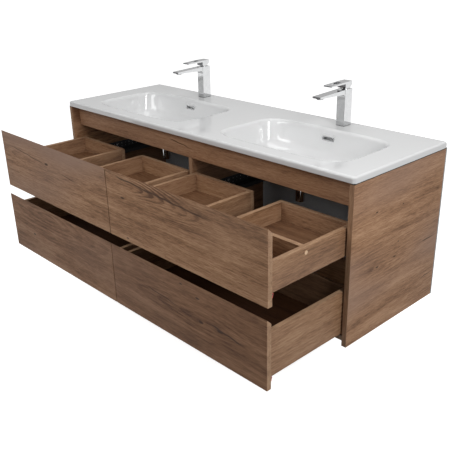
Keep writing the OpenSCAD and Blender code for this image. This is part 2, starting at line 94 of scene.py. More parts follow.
# Basin sections from the rim down: inset from the rim, depth, squareness of the superellipse
WALL_SECTIONS = [
    (-10.0, 0.0, 5.6), (-7.6, 0.25, 5.6), (-5.2, 0.9, 5.6), (-2.8, 2.1, 5.6), (-0.8, 3.7, 5.5),
    (0.9, 5.8, 5.5), (2.2, 8.6, 5.4), (3.4, 13.0, 5.3), (5.0, 22.0, 5.2), (9.0, 42.0, 5.0),
    (14.0, 66.0, 4.8), (17.2, 76.0, 4.6), (22.0, 84.0, 4.4), (29.0, 92.0, 4.2), (38.0, 99.0, 4.0),
    (49.0, 104.2, 3.7), (62.0, 108.0, 3.4),
]
# Sections of the basin floor: half width, half length, depth, squareness
FLOOR_SECTIONS = [
    (152.0, 66.0, 109.9, 3.0), (110.0, 48.0, 111.5, 2.6), (70.0, 41.0, 113.2, 2.3),
    (34.0, 34.0, 114.6, 2.0), (28.0, 28.0, 115.0, 2.0),
]

COLUMN_W = 35 * MM
COLUMN_L = 40 * MM
SPOUT_W = 34 * MM
SPOUT_REACH = 134 * MM
SPOUT_TIP_DROP = 5.5 * MM
SPOUT_TIP_T = 6 * MM
SPOUT_ROOT_T = 16 * MM
ROOT_FILLET = 12 * MM
GASKET_T = 1.5 * MM
COLUMN_H = 129 * MM            # top of the column above the basin top
ROOT_OVERLAP = 10 * MM         # the spout's root reaches this far into the column
STUD_R = 4 * MM
STUD_BACK = 10 * MM            # from the column's axis forward to the stud
STUD_DROP = 32 * MM            # below the underside of the top
BOSS_DROP = 10 * MM            # from the spout's tip down to the aerator's face
BOSS_H = 7 * MM
BOSS_EASE = 0.8 * MM
ROUND_POINTS = 48
STUD_POINTS = 24
AERATOR_BACK = 20 * MM         # from the spout's tip to the aerator's axis
AERATOR_BOSS = 14 * MM         # radius of the lump that holds the aerator
AERATOR_BORE = 11 * MM
LEVER_T = 4.5 * MM
LEVER_ROOT_T = 7.5 * MM
LEVER_TIP_DROP = 3.5 * MM
WINDOW_W = 18 * MM
WINDOW_L = 38 * MM
WINDOW_FRONT = 26 * MM

BEAD_T = 2.2 * MM              # dark bead between the cabinet and the top, standing in for the shadow line there
BEAD_OUT = 0.4 * MM
BOARD_EASE = 0.7 * MM
BACK_EASE = 0.3 * MM
TRIM_EASE = 0.5 * MM
BEAD_EASE = 0.2 * MM
RAIL_EASE = 1.5 * MM
METAL_EASE = 0.6 * MM
WELD = 0.01 * MM
FLAT = radians(0.5)
CREASE = radians(25)
SHARP = radians(50)


# ---------- mesh helpers ----------

def finish_piece(name, bm, body, materials, replaced=()):
    """An object made from bm that rides on a body and takes the given materials."""
    bmesh.ops.recalc_face_normals(bm, faces=bm.faces)
    for face in bm.faces:
        face.smooth = True
    for edge in bm.edges:
        edge.smooth = not edge.is_manifold or edge.calc_face_angle(0) < SHARP
    mesh = bpy.data.meshes.new(name)
    bm.to_mesh(mesh)
    bm.free()
    piece = bpy.data.objects.new(name, mesh)
    bpy.context.scene.collection.objects.link(piece)
    for material in materials:
        mesh.materials.append(material)
    normals = piece.modifiers.new("normals", "WEIGHTED_NORMAL")
    normals.keep_sharp = True
    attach(piece, body)
    if replaced:
        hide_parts(*replaced)
    return piece


def ease_edges(bm, width, segments=2, edges=None):
    """Round the sharp edges of a closed mesh."""
    pool = bm.edges if edges is None else edges
    sharp = [e for e in pool if e.is_manifold and e.calc_face_angle(0) > CREASE]
    bmesh.ops.bevel(bm, geom=sharp, offset=width, segments=segments, profile=0.5,
                    affect="EDGES", clamp_overlap=True)


def cad_copy(node):
    """A welded copy of a CAD node's mesh, with its flat faces whole."""
    bm = bmesh.new()
    bm.from_mesh(frame["nodes"][node].data)
    bmesh.ops.remove_doubles(bm, verts=bm.verts, dist=WELD)
    bmesh.ops.dissolve_limit(bm, angle_limit=FLAT, verts=bm.verts, edges=bm.edges)
    return bm


def body_of(node):
    return frame["nodes"][node]["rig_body"]


def thin_axis(low, high):
    size = high - low
    return min(range(3), key=lambda axis: size[axis])


def fine_board(node, face_material, edge_material, ease=BOARD_EASE):
    """A board in place of its CAD node: eased edges, and edge banding on the narrow faces."""
    bm = cad_copy(node)
    boards = islands(bm)
    narrow = {}
    for verts in boards:
        low = Vector([min(v.co[a] for v in verts) for a in range(3)])
        high = Vector([max(v.co[a] for v in verts) for a in range(3)])
        for v in verts:
            narrow[v] = thin_axis(low, high)
    axes = [narrow[face.verts[0]] for face in bm.faces]
    thin_layer = bm.faces.layers.int.new("thin")
    for face, axis in zip(bm.faces, axes):
        face[thin_layer] = axis
    ease_edges(bm, ease)
    for face in bm.faces:
        face.normal_update()
        face.material_index = 0 if abs(face.normal[face[thin_layer]]) > 0.9 else 1
    return finish_piece("fine_" + node, bm, body_of(node),
                        [face_material, edge_material], [node])


def islands(bm):
    """The vertices of each separate solid."""
    left = set(bm.verts)
    found = []
    while left:
        start = left.pop()
        group = {start}
        border = [start]
        while border:
            vertex = border.pop()
            for edge in vertex.link_edges:
                other = edge.other_vert(vertex)
                if other not in group:
                    group.add(other)
                    border.append(other)
        left -= group
        found.append(group)
    return found


def fine_copy(node, materials, ease=METAL_EASE, segments=2):
    """A small part in place of its CAD node, with eased edges."""
    bm = cad_copy(node)
    ease_edges(bm, ease, segments)
    return finish_piece("fine_" + node, bm, body_of(node), materials, [node])


def loop_of(bm, points):
    return [bm.verts.new(point) for point in points]


def skin(bm, lower, upper):
    """A band of quads between two closed loops of the same length."""
    count = len(lower)
    for i in range(count):
        k = (i + 1) % count
        bm.faces.new((lower[i], lower[k], upper[k], upper[i]))


def loop_edges(loop):
    """The edges along a closed loop of vertices."""
    edges = []
    for i, vertex in enumerate(loop):
        following = loop[(i + 1) % len(loop)]
        edges.append(next(e for e in vertex.link_edges if e.other_vert(vertex) is following))
    return edges


def prism(bm, outline, x_low, x_high):
    """A YZ outline made solid between two X planes."""
    near = loop_of(bm, [(x_low, y, z) for y, z in outline])
    far = loop_of(bm, [(x_high, y, z) for y, z in outline])
    skin(bm, near, far)
    bm.faces.new(near)
    bm.faces.new(list(reversed(far)))


def arc(centre, radius, start, end, steps):
    """Points on an arc in degrees, both ends included."""
    return [
        (centre[0] + radius * cos(radians(start + (end - start) * i / steps)),
         centre[1] + radius * sin(radians(start + (end - start) * i / steps)))
        for i in range(steps + 1)
    ]


# ---------- material helpers ----------

class Shading:
    """Short forms for a material's nodes."""

    def __init__(self, name):
        self.material = bpy.data.materials.new(name)
        self.material.use_nodes = True
        self.tree = self.material.node_tree
        self.shader = self.tree.nodes["Principled BSDF"]
        self.place = self.node("ShaderNodeTexCoord").outputs["Object"]

    def node(self, kind, **settings):
        made = self.tree.nodes.new(kind)
        for key, value in settings.items():
            setattr(made, key, value)
        return made

    def feed(self, socket, value):
        if isinstance(value, bpy.types.NodeSocket):
            self.tree.links.new(value, socket)
        else:
            socket.default_value = value

    def calc(self, operation, a, b=0.0, clamp=False):
        made = self.node("ShaderNodeMath", operation=operation, use_clamp=clamp)
        self.feed(made.inputs[0], a)
        self.feed(made.inputs[1], b)
        return made.outputs[0]

    def split(self, vector):
        made = self.node("ShaderNodeSeparateXYZ")
        self.feed(made.inputs[0], vector)
        return {"X": made.outputs[0], "Y": made.outputs[1], "Z": made.outputs[2]}

    def join(self, x, y, z):
        made = self.node("ShaderNodeCombineXYZ")
        for socket, value in zip(made.inputs, (x, y, z)):
            self.feed(socket, value)
        return made.outputs[0]

    def noise(self, vector, scale, detail=2.0, roughness=0.5, distortion=0.0):
        made = self.node("ShaderNodeTexNoise")
        self.feed(made.inputs["Vector"], vector)
        made.inputs["Scale"].default_value = scale
        made.inputs["Detail"].default_value = detail
        made.inputs["Roughness"].default_value = roughness
        made.inputs["Distortion"].default_value = distortion
        return made.outputs["Fac"]

    def step(self, value, low, high, from_value=0.0, to_value=1.0):
        """Smooth change from from_value to to_value as value goes from low to high."""
        made = self.node("ShaderNodeMapRange", interpolation_type="SMOOTHSTEP")
        for socket, number in zip(made.inputs, (value, low, high, from_value, to_value)):
            self.feed(socket, number)
        return made.outputs[0]

    def ramp(self, value, stops):
        made = self.node("ShaderNodeValToRGB")
        self.feed(made.inputs[0], value)
        elements = made.color_ramp.elements
        while len(elements) < len(stops):
            elements.new(0.5)
        for element, (position, colour) in zip(elements, stops):
            element.position = position
            element.color = (*colour, 1.0)
        return made.outputs[0]

    def mix(self, factor, a, b, blend="MIX"):
        made = self.node("ShaderNodeMix", data_type="RGBA", blend_type=blend)
        self.feed(made.inputs["Factor"], factor)
        for socket, colour in ((made.inputs[6], a), (made.inputs[7], b)):
            self.feed(socket, colour if isinstance(colour, bpy.types.NodeSocket) else (*colour, 1.0))
        return made.outputs[2]

    def bump(self, height, strength, distance):
        made = self.node("ShaderNodeBump")
        made.inputs["Strength"].default_value = strength
        made.inputs["Distance"].default_value = distance
        self.feed(made.inputs["Height"], height)
        self.feed(self.shader.inputs["Normal"], made.outputs[0])

    def set(self, **values):
        names = {"colour": "Base Color", "roughness": "Roughness", "metallic": "Metallic",
                 "specular": "Specular IOR Level", "coat": "Coat Weight",
                 "coat_roughness": "Coat Roughness"}
        for key, value in values.items():
            if key == "colour" and not isinstance(value, bpy.types.NodeSocket):
                value = (*value, 1.0)
            self.feed(self.shader.inputs[names[key]], value)
        return self


# ---------- wood ----------

WOOD_DARK = (0.104, 0.047, 0.022)
WOOD_MID = (0.305, 0.157, 0.077)
WOOD_LIGHT = (0.490, 0.285, 0.158)
WOOD_GREY = (0.295, 0.185, 0.134)
BOX_DARK = (0.105, 0.050, 0.025)
BOX_MID = (0.285, 0.152, 0.078)
BOX_LIGHT = (0.430, 0.262, 0.148)
SHADE_TINT = (1.0, 1.2, 1.35)  # a darker shade also turns redder; on the lower fronts and the drawer floors this darkening is painted shade
RINGS_PER_M = 75.0
FIGURE_REACH = (0.02, 0.13)    # the arches fade out this far from the heart
FIGURE_DEPTH = 0.22


def laminate(name, along, across, heart, tones=(WOOD_DARK, WOOD_MID, WOOD_LIGHT), grey=0.35,
             shade=1.0, knots=(), cracks=(), shift=0.0, rings=RINGS_PER_M, figure=FIGURE_REACH,
             depth_of_figure=FIGURE_DEPTH):
    """Printed oak grain. heart is (along, across, slope, depth) of the log's core, which bends the
    rings into arches; knots are (along, across, size) and cracks (start, end, across, slope, width)."""
    s = Shading(name)
    axes = s.split(s.place)
    third = ({"X", "Y", "Z"} - {along, across}).pop()
    u = s.calc("ADD", axes[along], shift)
    v = axes[across]
    w = axes[third]
    v_bent = v
    knot_dark = None
    for ku, kv, size in knots:
        du = s.calc("MULTIPLY", s.calc("SUBTRACT", axes[along], ku), 1 / (2.8 * size))
        dv = s.calc("MULTIPLY", s.calc("SUBTRACT", v, kv), 1 / size)
        square = s.calc("ADD", s.calc("MULTIPLY", du, du), s.calc("MULTIPLY", dv, dv))
        bulge = s.calc("POWER", exp(1), s.calc("MULTIPLY", square, -0.12))
        pull = s.calc("MULTIPLY", s.calc("MULTIPLY", dv, -0.85 * size), bulge)
        v_bent = s.calc("ADD", v_bent, pull)
        core = s.step(square, 0.15, 1.3, 1.0, 0.0)
        knot_dark = core if knot_dark is None else s.calc("MAXIMUM", knot_dark, core)
    slow = s.noise(s.join(s.calc("MULTIPLY", u, 1.6), s.calc("MULTIPLY", v, 5.0), w), 1.0, 2.0)
    drift = s.calc("MULTIPLY", s.calc("SUBTRACT", slow, 0.5), 0.09)
    hu, hv, slope, depth = heart
    across_ring = s.calc("ADD", s.calc("SUBTRACT", v_bent, hv), drift)
    down = s.calc("ADD", s.calc("MULTIPLY", s.calc("SUBTRACT", axes[along], hu), slope), depth)
    reach = s.calc("SQRT", s.calc("ADD", s.calc("MULTIPLY", across_ring, across_ring),
                                  s.calc("MULTIPLY", down, down)))
    ring = s.calc("FRACT", s.calc("MULTIPLY", reach, rings))
    late = s.calc("MULTIPLY", s.step(ring, 0.25, 0.85), s.step(ring, 0.88, 1.0, 1.0, 0.0))
    ring_depth = s.step(s.noise(s.join(s.calc("MULTIPLY", u, 3.0), s.calc("MULTIPLY", v, 9.0), w),
                                1.0, 1.0), 0.35, 0.7)
    late = s.calc("MULTIPLY", late, ring_depth)
    late = s.calc("MULTIPLY", late, s.step(reach, *figure, 1.0, 0.0))

    bands = s.noise(s.join(s.calc("MULTIPLY", u, 3.0), s.calc("MULTIPLY", v_bent, 42.0),
                           s.calc("MULTIPLY", w, 42.0)), 1.0, 2.0, 0.5)
    fibres = s.join(s.calc("MULTIPLY", u, 14.0), s.calc("MULTIPLY", v_bent, 190.0),
                    s.calc("MULTIPLY", w, 190.0))
    streak = s.noise(fibres, 1.0, 3.0, 0.6)
    threads = s.join(s.calc("MULTIPLY", u, 45.0), s.calc("MULTIPLY", v_bent, 620.0),
                     s.calc("MULTIPLY", w, 620.0))
    thread = s.noise(threads, 1.0, 2.0, 0.6)
    pores = s.noise(s.join(s.calc("MULTIPLY", u, 75.0), s.calc("MULTIPLY", v, 1300.0),
                           s.calc("MULTIPLY", w, 1300.0)), 1.0, 1.0)
    pore = s.step(pores, 0.66, 0.76)
    cloud = s.noise(s.join(s.calc("MULTIPLY", u, 4.0), s.calc("MULTIPLY", v, 12.0), w), 1.0, 3.0)

    tone = s.calc("ADD", 0.53, s.calc("MULTIPLY", s.calc("SUBTRACT", bands, 0.5), 0.60))
    tone = s.calc("ADD", tone, s.calc("MULTIPLY", s.calc("SUBTRACT", streak, 0.5), 0.70))
    tone = s.calc("ADD", tone, s.calc("MULTIPLY", s.calc("SUBTRACT", thread, 0.5), 0.85))
    tone = s.calc("ADD", tone, s.calc("MULTIPLY", s.calc("SUBTRACT", cloud, 0.5), 0.50))
    tone = s.calc("SUBTRACT", tone, s.calc("MULTIPLY", late, depth_of_figure))
    tone = s.calc("SUBTRACT", tone, s.calc("MULTIPLY", pore, 0.14), clamp=True)
    dark, mid, light = tones
    colour = s.ramp(tone, [(0.16, dark), (0.5, mid), (0.86, light)])
    pink = s.step(s.noise(s.join(s.calc("MULTIPLY", u, 1.3), s.calc("MULTIPLY", v, 4.0), w), 1.0, 1.0),
                  0.35, 0.68)
    colour = s.mix(s.calc("MULTIPLY", pink, grey), colour, WOOD_GREY)

    mark = knot_dark
    for start, end, cv, tilt, width in cracks:
        wander = s.noise(s.join(s.calc("MULTIPLY", axes[along], 22.0), cv * 50, 0.0), 1.0, 2.0)
        centre = s.calc("ADD", s.calc("MULTIPLY", s.calc("SUBTRACT", axes[along], start), tilt), cv)
        centre = s.calc("ADD", centre, s.calc("MULTIPLY", s.calc("SUBTRACT", wander, 0.5), 0.009))
        off = s.calc("ABSOLUTE", s.calc("SUBTRACT", v, centre))
        line = s.step(off, 0.2 * width, width, 1.0, 0.0)
        line = s.calc("MULTIPLY", line, s.step(axes[along], start, start + 0.03))
        line = s.calc("MULTIPLY", line, s.step(axes[along], end - 0.05, end, 1.0, 0.0))
        line = s.calc("MULTIPLY", line, s.step(s.noise(fibres, 2.0, 2.0), 0.30, 0.50, 0.6, 1.0))
        mark = line if mark is None else s.calc("MAXIMUM", mark, line)
    if mark is not None:
        colour = s.mix(s.calc("MULTIPLY", mark, 0.92), colour, [0.42 * c for c in dark])
    # shade darkens the whole print; the lower fronts and the drawer floors use it as painted shade
    if shade != 1.0:
        colour = s.mix(1.0, colour, [shade ** power for power in SHADE_TINT], "MULTIPLY")
    rough = s.step(tone, 0.2, 0.8, 0.66, 0.54)
    s.set(colour=colour, roughness=rough, specular=0.2)
    height = s.calc("SUBTRACT", s.calc("ADD", s.calc("MULTIPLY", thread, 0.5), streak), pore)
    s.bump(height, 0.22, 0.25 * MM)
    return s.material


# ---------- other materials ----------

EDGE_SHADE_REACH = (10 * MM, 12 * MM)   # the painted shade on the top's edges fades out over this reach from the edge
PAINTED_EDGE_SHADE = (0.62, 0.622, 0.625)


def glaze():
    """Fired white glaze with a faint waviness, with painted shade on the upright faces of the top's front
    and right edges.
    """
    s = Shading("white_glaze")
    waviness = s.noise(s.place, 9.0, 2.0)
    tint = s.noise(s.place, 3.0, 1.0)
    colour = s.ramp(tint, [(0.3, (0.725, 0.728, 0.730)), (0.7, (0.745, 0.747, 0.748))])
    low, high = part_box("basin_top")
    place = s.split(s.place)
    normal = s.split(s.node("ShaderNodeTexCoord").outputs["Normal"])
    upright = s.step(normal["Z"], 0.3, 0.8, 1.0, 0.0)
    front = s.step(place["Y"], low.y + EDGE_SHADE_REACH[0], low.y + EDGE_SHADE_REACH[1], 1.0, 0.0)
    beside = s.step(place["X"], high.x - EDGE_SHADE_REACH[1], high.x - EDGE_SHADE_REACH[0])
    # painted shade: the upright faces near the front and right edges are darkened
    edge = s.calc("MULTIPLY", upright, s.calc("MAXIMUM", front, beside))
    colour = s.mix(edge, colour, PAINTED_EDGE_SHADE)
    s.set(colour=colour, roughness=s.step(s.noise(s.place, 26.0, 3.0), 0.3, 0.7, 0.06, 0.10),
          specular=0.5, coat=0.3, coat_roughness=0.03)
    s.bump(waviness, 0.05, 0.4 * MM)
    return s.material


def chrome():
    """Polished chrome with faint wiping marks; its high front faces carry a painted dark reflection."""
    s = Shading("polished_chrome")
    wiping = s.noise(s.place, 60.0, 3.0)
    colour = s.ramp(wiping, [(0.3, (0.60, 0.605, 0.61)), (0.7, (0.65, 0.655, 0.66))])
    normal = s.split(s.node("ShaderNodeTexCoord").outputs["Normal"])
    # painted reflection: front faces above the set height are darkened as if they mirrored a dark room
    forward = s.step(normal["Y"], -0.96, -0.85, 1.0, 0.0)
    high = s.step(s.split(s.place)["Z"], PAINTED_REFLECTION_Z - 1 * MM, PAINTED_REFLECTION_Z)
    colour = s.mix(s.calc("MULTIPLY", forward, high), colour, PAINTED_DARK_REFLECTION)
    s.set(colour=colour, metallic=1.0, roughness=s.step(wiping, 0.3, 0.75, 0.06, 0.13))
    return s.material


def coated_steel():
    """Black coated steel with a fine orange-peel skin and rubbed streaks along the travel."""
    s = Shading("black_coated_steel")
    axes = s.split(s.place)
    rub = s.noise(s.join(s.calc("MULTIPLY", axes["X"], 400.0), s.calc("MULTIPLY", axes["Y"], 6.0),
                         s.calc("MULTIPLY", axes["Z"], 400.0)), 1.0, 3.0)
    colour = s.ramp(rub, [(0.35, (0.010, 0.010, 0.011)), (0.75, (0.034, 0.034, 0.036))])
    s.set(colour=colour, roughness=s.step(rub, 0.3, 0.7, 0.52, 0.34), specular=0.5)
    s.bump(s.noise(s.place, 1400.0, 1.0), 0.12, 0.1 * MM)
    return s.material


def zinc_plate(name="zinc_plate", bright=0.55, dull=0.38):
    """Zinc-plated steel with its cloudy passivation."""
    s = Shading(name)
    cloud = s.noise(s.place, 180.0, 3.0)
    colour = s.ramp(cloud, [(0.3, (dull, dull, dull * 1.02)), (0.7, (bright, bright, bright * 1.01))])
    s.set(colour=colour, metallic=1.0, roughness=s.step(cloud, 0.3, 0.7, 0.38, 0.24))
    s.bump(s.noise(s.place, 900.0, 1.0), 0.06, 0.1 * MM)
    return s.material


def grey_board():
    """Dark grey lacquered fibreboard."""
    s = Shading("grey_back_board")
    fleck = s.noise(s.place, 420.0, 2.0)
    colour = s.ramp(fleck, [(0.3, (0.290, 0.295, 0.305)), (0.7, (0.350, 0.357, 0.368))])
    s.set(colour=colour, roughness=s.step(fleck, 0.3, 0.7, 0.62, 0.5), specular=0.4)
    s.bump(fleck, 0.12, 0.15 * MM)
    return s.material


def plastic(name, base, roughness=0.4):
    """Moulded plastic with a fine spark-eroded texture."""
    s = Shading(name)
    grain = s.noise(s.place, 1100.0, 1.0)
    light = [min(1.0, c * 1.12) for c in base]
    colour = s.ramp(grain, [(0.35, base), (0.7, light)])
    s.set(colour=colour, roughness=s.step(grain, 0.3, 0.7, roughness, roughness + 0.1))
    s.bump(grain, 0.15, 0.1 * MM)
    return s.material


def rubber():
    s = Shading("gasket_rubber")
    dust = s.noise(s.place, 500.0, 2.0)
    colour = s.ramp(dust, [(0.35, (0.008, 0.008, 0.008)), (0.75, (0.022, 0.022, 0.021))])
    s.set(colour=colour, roughness=0.7, specular=0.3)
    s.bump(dust, 0.1, 0.1 * MM)
    return s.material


# Above this height the chrome's front faces get a painted dark reflection
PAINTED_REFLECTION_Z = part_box("basin_top")[1].z + 113 * MM
PAINTED_DARK_REFLECTION = (0.13, 0.13, 0.135)

GLAZE = glaze()
CHROME = chrome()
STEEL = coated_steel()
ZINC = zinc_plate()
GREY = grey_board()
RED = plastic("release_red_plastic", (0.48, 0.022, 0.012))
BEIGE = plastic("cap_beige_plastic", (0.62, 0.42, 0.26), 0.5)
RUBBER = rubber()
CAD_MATERIAL = {"chrome_plate": CHROME, "slide_black": STEEL, "zinc": ZINC, "back_grey": GREY,
               "seal_rubber": RUBBER, "release_red": RED, "cap_beige": BEIGE, "basin_glaze": GLAZE}

# ---------- boards ----------

BOX_TONES = (BOX_DARK, BOX_MID, BOX_LIGHT)
BAND_TONES = ((0.190, 0.105, 0.058), (0.360, 0.215, 0.125), (0.520, 0.335, 0.205))

# Where the printed figure of each front has its arches, knots and cracks, in the row frame
FRONT_WOOD = {
    "upper_right": laminate(
        "front_upper_right", "X", "Z", heart=(0.05, -0.034, 0.12, 0.006), grey=0.15,
        rings=160.0, figure=(0.035, 0.10), depth_of_figure=0.7,
        knots=[(0.089, -0.075, 0.004), (0.101, -0.212, 0.003)],
        cracks=[(0.05, 0.52, -0.008, -0.062, 0.0042)]),
    "upper_left": laminate(
        "front_upper_left", "X", "Z", heart=(-0.391, -0.075, 0.14, 0.012), grey=0.85,
        knots=[(-0.391, -0.066, 0.005)],
        cracks=[(-0.66, -0.40, -0.045, -0.10, 0.0022), (-0.30, -0.17, -0.080, -0.12, 0.0020)]),
    # The lower fronts' shade factors are painted shade: they are darker because less light falls on them
    "lower_right": laminate(
        "front_lower_right", "X", "Z", heart=(0.541, -0.376, 0.12, 0.010), grey=0.3, shade=0.62,
        knots=[(0.541, -0.376, 0.006), (0.457, -0.380, 0.004), (0.444, -0.303, 0.004),
               (0.368, -0.281, 0.003)],
        cracks=[(0.49, 0.66, -0.366, -0.12, 0.0045), (0.19, 0.36, -0.352, -0.10, 0.0026)]),
    "lower_left": laminate(
        "front_lower_left", "X", "Z", heart=(-0.357, -0.300, 0.16, 0.012), grey=0.4, shade=0.72,
        knots=[(-0.563, -0.396, 0.004)],
        cracks=[(-0.70, -0.58, -0.290, -0.08, 0.0025)]),
}
SIDE_WOOD = {
    "right": laminate(
        "side_right", "Y", "Z", heart=(-0.400, -0.257, 0.15, 0.008), grey=0.8,
        knots=[(-0.374, -0.075, 0.0026), (-0.234, -0.086, 0.002), (-0.244, -0.210, 0.002),
               (-0.353, -0.263, 0.0032), (-0.260, -0.257, 0.0028)],
        cracks=[(-0.11, -0.01, -0.258, 0.03, 0.0035), (-0.09, -0.005, -0.402, 0.11, 0.0025)]),
    "left": laminate(
        "side_left", "Y", "Z", heart=(-0.30, -0.10, 0.25, 0.02), grey=0.5, shift=3.0,
        knots=[(-0.30, -0.20, 0.007), (-0.12, -0.33, 0.005)]),
}
RAIL_WOOD = laminate("rails", "X", "Z", heart=(-0.30, 0.35, 0.02, 0.10), grey=0.35, shade=0.98,
                     cracks=[(-0.12, 0.02, 0.008, -0.12, 0.0028)])
PARTITION_WOOD = laminate("partition", "Y", "Z", heart=(0.0, 0.5, 0.02, 0.1), shift=5.0)
FLOOR_WOOD = laminate("bottom_panel", "X", "Y", heart=(0.0, 0.5, 0.02, 0.1), shift=7.0)
BOX_LONG = laminate("box_sides", "Y", "Z", heart=(0.0, 0.4, 0.02, 0.1), tones=BOX_TONES, grey=0.2,
                    shift=9.0)
BOX_CROSS = laminate("box_cross_boards", "X", "Z", heart=(0.0, 0.4, 0.02, 0.1), tones=BOX_TONES,
                     grey=0.2, shift=11.0)
# shade 0.6 is painted shade inside the upper drawers' compartments
BOX_FLOOR_PAINTED_SHADE = laminate("box_floors", "X", "Y", heart=(0.0, 0.6, 0.02, 0.1), tones=BOX_TONES, grey=0.2,
                     shift=13.0, shade=0.6)
# shade 0.16 paints the shadow inside the lower drawers onto their floors
DEEP_FLOOR_PAINTED_SHADOW = laminate("lower_box_floors", "X", "Y", heart=(0.0, 0.6, 0.02, 0.1), tones=BOX_TONES,
                      grey=0.2, shift=15.0, shade=0.16)
DRAWER_FLOOR = {"upper": BOX_FLOOR_PAINTED_SHADE, "lower": DEEP_FLOOR_PAINTED_SHADOW}
BAND_X = laminate("edge_band_x", "X", "Z", heart=(0.0, 0.4, 0.01, 0.1), tones=BAND_TONES, grey=0.15)
BAND_Y = laminate("edge_band_y", "Y", "Z", heart=(0.0, 0.4, 0.01, 0.1), tones=BAND_TONES, grey=0.15)
BAND_Z = laminate("edge_band_z", "Z", "X", heart=(0.0, 0.4, 0.01, 0.1), tones=BAND_TONES, grey=0.3,
                  shade=0.75)

for side in SIDES:
    fine_board("side_panel_" + side, SIDE_WOOD[side], BAND_Z)
fine_board("centre_partition", PARTITION_WOOD, BAND_Z)
fine_board("bottom_panel", FLOOR_WOOD, BAND_X)
for rail in ("top_front_rail", "middle_front_rail", "hanging_rail"):
    fine_board(rail, RAIL_WOOD, BAND_X, RAIL_EASE)
fine_board("back_board", GREY, GREY, BACK_EASE)

for side in SIDES:
    for level in LEVELS:
        drawer = f"{level}_{side}_"
        fine_board(drawer + "front", FRONT_WOOD[f"{level}_{side}"], BAND_X)
        fine_board(drawer + "sides", BOX_LONG, BAND_Y)
        fine_board(drawer + "back", BOX_CROSS, BAND_X)
        fine_board(drawer + "bottom", DRAWER_FLOOR[level], BAND_X)
    fine_board(f"upper_{side}_well_walls", BOX_LONG, BAND_Y)
    fine_board(f"upper_{side}_divider", BOX_CROSS, BAND_X)


# ---------- basin top ----------

top_low, top_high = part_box("basin_top")
under_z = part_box("side_panel_left")[1].z
top_z = top_high.z
plug_box = {side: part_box("drain_plug_" + side) for side in SIDES}
basin_at = {side: (low + high) / 2 for side, (low, high) in plug_box.items()}
gasket_low, gasket_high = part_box("tap_gaskets")
tap_y = (gasket_low.y + gasket_high.y) / 2


def basin_rings(wall):
    """Loops of points round a basin from the rim down, grown outwards and down by wall."""
    rows = [(BASIN_W / 2 - inset * MM, BASIN_L / 2 - inset * MM, depth, n)
            for inset, depth, n in WALL_SECTIONS]
    rows += [(a * MM, b * MM, depth, n) for a, b, depth, n in FLOOR_SECTIONS]
    return [(a + wall, b + wall, top_z - depth * MM - wall, n) for a, b, depth, n in rows]


def superellipse(centre, a, b, z, n):
    points = []
    for i in range(BASIN_POINTS):
        angle = 2 * pi * (i + 0.5) / BASIN_POINTS
        c = cos(angle)
        s = sin(angle)
        x = a * abs(c) ** (2 / n) * (1 if c > 0 else -1)
        y = b * abs(s) ** (2 / n) * (1 if s > 0 else -1)
        points.append((centre.x + x, centre.y + y, z))
    return points


def circle(centre_x, centre_y, radius, z, count=BASIN_POINTS):
    return [(centre_x + radius * cos(2 * pi * (i + 0.5) / count),
             centre_y + radius * sin(2 * pi * (i + 0.5) / count), z) for i in range(count)]


def plan_outline(inset, z, corner_steps=10):
    """The top's outline, shrunk by inset: a rectangle with round corners."""
    low = top_low
    high = top_high
    radius = TOP_CORNER - inset
    points = []
    for corner, (sx, sy) in enumerate(((1, 1), (-1, 1), (-1, -1), (1, -1))):
        cx = (high.x if sx > 0 else low.x) - sx * TOP_CORNER
        cy = (high.y if sy > 0 else low.y) - sy * TOP_CORNER
        for i in range(corner_steps + 1):
            angle = pi / 2 * (corner + i / corner_steps)
            points.append((cx + radius * cos(angle), cy + radius * sin(angle), z))
    return points


def basin_shell(bm, centre):
    """Inner and outer skin of one basin, joined at the drain hole; returns the two rim loops."""
    inner = [loop_of(bm, superellipse(centre, *row)) for row in basin_rings(0)]
    outer_rows = [row for row in basin_rings(BASIN_WALL) if row[2] < under_z - 2 * MM]
    first = outer_rows[0]
    outer_rows.insert(0, (first[0], first[1], under_z, first[3]))
    outer = [loop_of(bm, superellipse(centre, *row)) for row in outer_rows]
    floor_z = top_z - BASIN_DEPTH
    inner.append(loop_of(bm, circle(centre.x, centre.y, DRAIN_HOLE, floor_z)))
    outer.append(loop_of(bm, circle(centre.x, centre.y, DRAIN_HOLE, floor_z - BASIN_WALL)))
    for rows in (inner, outer):
        for upper, lower in zip(rows, rows[1:]):
            skin(bm, lower, upper)
    skin(bm, inner[-1], outer[-1])
    return inner[0], outer[0]


def fill(bm, loops):
    """Flat face between an outline and the holes in it."""
    edges = [edge for loop in loops for edge in loop_edges(loop)]
    bmesh.ops.triangle_fill(bm, use_beauty=True, use_dissolve=False, edges=edges)


def box_mesh(size, place, turn=0.0):
    """A box with its centre at place, turned about X."""
    bm = bmesh.new()
    bmesh.ops.create_cube(bm, size=1.0)
    bmesh.ops.scale(bm, vec=size, verts=bm.verts)
    bmesh.ops.rotate(bm, cent=(0, 0, 0), matrix=Matrix.Rotation(turn, 3, "X"), verts=bm.verts)
    bmesh.ops.translate(bm, vec=place, verts=bm.verts)
    mesh = bpy.data.meshes.new("tool")
    bm.to_mesh(mesh)
    bm.free()
    return bpy.data.objects.new("tool", mesh)


def carve(bm, tools):
    """bm with box tools joined or cut away, as a new bmesh."""
    mesh = bpy.data.meshes.new("blank")
    bmesh.ops.recalc_face_normals(bm, faces=bm.faces)
    bm.to_mesh(mesh)
    bm.free()
    blank = bpy.data.objects.new("blank", mesh)
    bpy.context.scene.collection.objects.link(blank)
    for tool, operation in tools:
        bpy.context.scene.collection.objects.link(tool)
        step = blank.modifiers.new(operation, "BOOLEAN")
        step.operation = operation
        step.solver = "EXACT"
        step.object = tool
    solid = blank.evaluated_get(bpy.context.evaluated_depsgraph_get())
    carved = bmesh.new()
    carved.from_mesh(solid.to_mesh())
    solid.to_mesh_clear()
    for holder in [blank] + [tool for tool, _ in tools]:
        mesh = holder.data
        bpy.data.objects.remove(holder)
        bpy.data.meshes.remove(mesh)
    return carved


